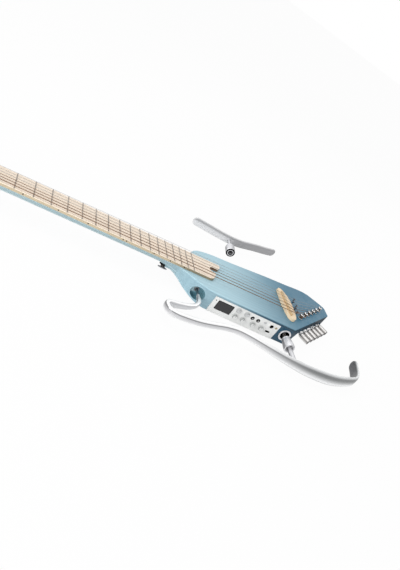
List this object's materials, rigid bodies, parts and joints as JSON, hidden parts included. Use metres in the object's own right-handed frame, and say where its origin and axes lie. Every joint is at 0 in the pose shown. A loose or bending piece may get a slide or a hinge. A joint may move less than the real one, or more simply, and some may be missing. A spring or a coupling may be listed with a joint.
{
  "type": "headless travel electric guitar",
  "caption": "Headless solid-body travel guitar with tail tuners, wooden fingerboard and bridge, side control panel, pull-off wire bout frame and leg rest.",
  "frame": {"origin": "on the back face, on the neck's centre line, under the end of the string scale", "axes": "+X from the head to the tail, +Y to the treble side, +Z out of the front face"},
  "size_m": [0.858, 0.3894, 0.049],
  "materials": {
    "blue_lacquer": "semi-gloss light blue lacquer over wood",
    "maple": "satin",
    "bone": "satin",
    "silver_alloy": "polished satin",
    "tuner_steel": "brushed",
    "wound_bronze": "dull wound",
    "string_steel": "plain",
    "dark_steel": "dark",
    "white_plastic": "satin",
    "grey_plastic": "satin",
    "black_plastic": "satin",
    "screen": "glossy dark",
    "board_green": "matt",
    "battery_wrap": "glossy",
    "screw_brass": "plain",
    "pickup_foil": "plain",
    "black_felt": "felt"
  },
  "bodies": {
    "instrument": {"neck": "blue_lacquer", "truss_rod": "dark_steel", "body": "blue_lacquer", "fretboard": "maple", "nut": "bone", "head_anchor": "silver_alloy", "bridge": "maple", "piezo_strip": "pickup_foil", "saddle": "bone", "string_1": "wound_bronze", "string_2": "wound_bronze", "string_3": "wound_bronze", "string_4": "string_steel", "string_5": "string_steel", "string_6": "string_steel", "string_guide_2": "dark_steel", "string_guide_3": "dark_steel", "string_guide_4": "dark_steel", "string_guide_5": "dark_steel", "string_guide_6": "dark_steel", "tuner_plate": "tuner_steel", "control_panel": "white_plastic", "screen": "screen", "jack_socket": "black_plastic", "charge_port": "dark_steel", "panel_screw": "screw_brass", "indicator_light": "grey_plastic", "circuit_board": "board_green", "battery": "battery_wrap", "back_cover": "black_plastic", "bass_socket": "silver_alloy", "treble_socket": "silver_alloy", "front_bush": "silver_alloy", "strap_felt": "black_felt", "strap_button": "tuner_steel"},
    "frame": {"bout_frame": "silver_alloy"},
    "frame_lock": {"frame_sleeve": "silver_alloy"},
    "leg": {"leg_rest": "silver_alloy"},
    "leg_lock": {"leg_sleeve": "silver_alloy"},
    "knob_1": {"tuner_knob_1": "tuner_steel"},
    "post_1": {"tuner_post_1": "tuner_steel"},
    "knob_2": {"tuner_knob_2": "tuner_steel"},
    "post_2": {"tuner_post_2": "tuner_steel"},
    "knob_3": {"tuner_knob_3": "tuner_steel"},
    "post_3": {"tuner_post_3": "tuner_steel"},
    "knob_4": {"tuner_knob_4": "tuner_steel"},
    "post_4": {"tuner_post_4": "tuner_steel"},
    "knob_5": {"tuner_knob_5": "tuner_steel"},
    "post_5": {"tuner_post_5": "tuner_steel"},
    "knob_6": {"tuner_knob_6": "tuner_steel"},
    "post_6": {"tuner_post_6": "tuner_steel"},
    "upper_knob_1_body": {"upper_knob_1": "grey_plastic"},
    "upper_knob_2_body": {"upper_knob_2": "grey_plastic"},
    "lower_knob_1_body": {"lower_knob_1": "white_plastic"},
    "lower_knob_2_body": {"lower_knob_2": "white_plastic"},
    "lower_knob_3_body": {"lower_knob_3": "white_plastic"},
    "lower_knob_4_body": {"lower_knob_4": "white_plastic"},
    "ring_button_1_body": {"ring_button_1": "black_plastic"},
    "ring_button_2_body": {"ring_button_2": "black_plastic"},
    "small_button_body": {"small_button": "grey_plastic"}
  },
  "joints": [
    {"name": "frame_slide", "type": "slide", "parent": "instrument", "child": "frame", "axis": [0, 1, 0], "range_m": [0, 0.0134]},
    {"name": "frame_lock_turn", "type": "hinge", "parent": "frame", "child": "frame_lock", "pos_m": [-0.0012, -0.08, 0.019], "axis": [0, -1, 0], "continuous": true},
    {"name": "leg_slide", "type": "slide", "parent": "instrument", "child": "leg", "axis": [-0.1444, -0.9895, 0], "range_m": [0, 0.0894]},
    {"name": "leg_lock_turn", "type": "hinge", "parent": "leg", "child": "leg_lock", "pos_m": [-0.07401, 0.15806, 0.019], "axis": [0.1444, 0.9895, 0], "continuous": true},
    {"name": "knob_turn_1", "type": "hinge", "parent": "instrument", "child": "knob_1", "pos_m": [0.04437, -0.03655, 0.0184], "axis": [0.6414, -0.7672, 0], "continuous": true},
    {"name": "post_turn_1", "type": "hinge", "parent": "instrument", "child": "post_1", "pos_m": [0.03694, -0.01799, 0.03], "axis": [0, 0, 1], "continuous": true},
    {"name": "knob_turn_2", "type": "hinge", "parent": "instrument", "child": "knob_2", "pos_m": [0.05795, -0.02519, 0.0184], "axis": [0.6414, -0.7672, 0], "continuous": true},
    {"name": "post_turn_2", "type": "hinge", "parent": "instrument", "child": "post_2", "pos_m": [0.05052, -0.00664, 0.03], "axis": [0, 0, 1], "continuous": true},
    {"name": "knob_turn_3", "type": "hinge", "parent": "instrument", "child": "knob_3", "pos_m": [0.07153, -0.01384, 0.0184], "axis": [0.6414, -0.7672, 0], "continuous": true},
    {"name": "post_turn_3", "type": "hinge", "parent": "instrument", "child": "post_3", "pos_m": [0.0641, 0.00471, 0.03], "axis": [0, 0, 1], "continuous": true},
    {"name": "knob_turn_4", "type": "hinge", "parent": "instrument", "child": "knob_4", "pos_m": [0.08511, -0.00248, 0.0184], "axis": [0.6414, -0.7672, 0], "continuous": true},
    {"name": "post_turn_4", "type": "hinge", "parent": "instrument", "child": "post_4", "pos_m": [0.07768, 0.01607, 0.03], "axis": [0, 0, 1], "continuous": true},
    {"name": "knob_turn_5", "type": "hinge", "parent": "instrument", "child": "knob_5", "pos_m": [0.09869, 0.00887, 0.0184], "axis": [0.6414, -0.7672, 0], "continuous": true},
    {"name": "post_turn_5", "type": "hinge", "parent": "instrument", "child": "post_5", "pos_m": [0.09126, 0.02742, 0.03], "axis": [0, 0, 1], "continuous": true},
    {"name": "knob_turn_6", "type": "hinge", "parent": "instrument", "child": "knob_6", "pos_m": [0.11227, 0.02022, 0.0184], "axis": [0.6414, -0.7672, 0], "continuous": true},
    {"name": "post_turn_6", "type": "hinge", "parent": "instrument", "child": "post_6", "pos_m": [0.10484, 0.03878, 0.03], "axis": [0, 0, 1], "continuous": true},
    {"name": "upper_knob_1_turn", "type": "hinge", "parent": "instrument", "child": "upper_knob_1_body", "pos_m": [-0.10742, -0.06031, 0.02651], "axis": [-0.0488, -0.9988, 0], "range_deg": [-150, 150]},
    {"name": "upper_knob_2_turn", "type": "hinge", "parent": "instrument", "child": "upper_knob_2_body", "pos_m": [-0.09053, -0.06114, 0.02651], "axis": [-0.0488, -0.9988, 0], "range_deg": [-150, 150]},
    {"name": "lower_knob_1_turn", "type": "hinge", "parent": "instrument", "child": "lower_knob_1_body", "pos_m": [-0.10742, -0.06031, 0.01351], "axis": [-0.0488, -0.9988, 0], "range_deg": [-150, 150]},
    {"name": "lower_knob_2_turn", "type": "hinge", "parent": "instrument", "child": "lower_knob_2_body", "pos_m": [-0.09094, -0.06112, 0.01351], "axis": [-0.0488, -0.9988, 0], "range_deg": [-150, 150]},
    {"name": "lower_knob_3_turn", "type": "hinge", "parent": "instrument", "child": "lower_knob_3_body", "pos_m": [-0.06963, -0.06216, 0.01351], "axis": [-0.0488, -0.9988, 0], "range_deg": [-150, 150]},
    {"name": "lower_knob_4_turn", "type": "hinge", "parent": "instrument", "child": "lower_knob_4_body", "pos_m": [-0.05163, -0.06304, 0.01351], "axis": [-0.0488, -0.9988, 0], "range_deg": [-150, 150]},
    {"name": "ring_button_1_press", "type": "slide", "parent": "instrument", "child": "ring_button_1_body", "axis": [0.0488, 0.9988, 0], "range_m": [0, 0.0008], "stiffness_N_per_m": 600, "springref_m": -0.0006},
    {"name": "ring_button_2_press", "type": "slide", "parent": "instrument", "child": "ring_button_2_body", "axis": [0.0488, 0.9988, 0], "range_m": [0, 0.0008], "stiffness_N_per_m": 600, "springref_m": -0.0006},
    {"name": "small_button_press", "type": "slide", "parent": "instrument", "child": "small_button_body", "axis": [0.0488, 0.9988, 0], "range_m": [0, 0.0008], "stiffness_N_per_m": 600, "springref_m": -0.0006}
  ],
  "couplings": [
    {"joint": "post_turn_1", "follows": "knob_turn_1", "ratio": 0.083333},
    {"joint": "post_turn_2", "follows": "knob_turn_2", "ratio": 0.083333},
    {"joint": "post_turn_3", "follows": "knob_turn_3", "ratio": 0.083333},
    {"joint": "post_turn_4", "follows": "knob_turn_4", "ratio": 0.083333},
    {"joint": "post_turn_5", "follows": "knob_turn_5", "ratio": 0.083333},
    {"joint": "post_turn_6", "follows": "knob_turn_6", "ratio": 0.083333}
  ]
}
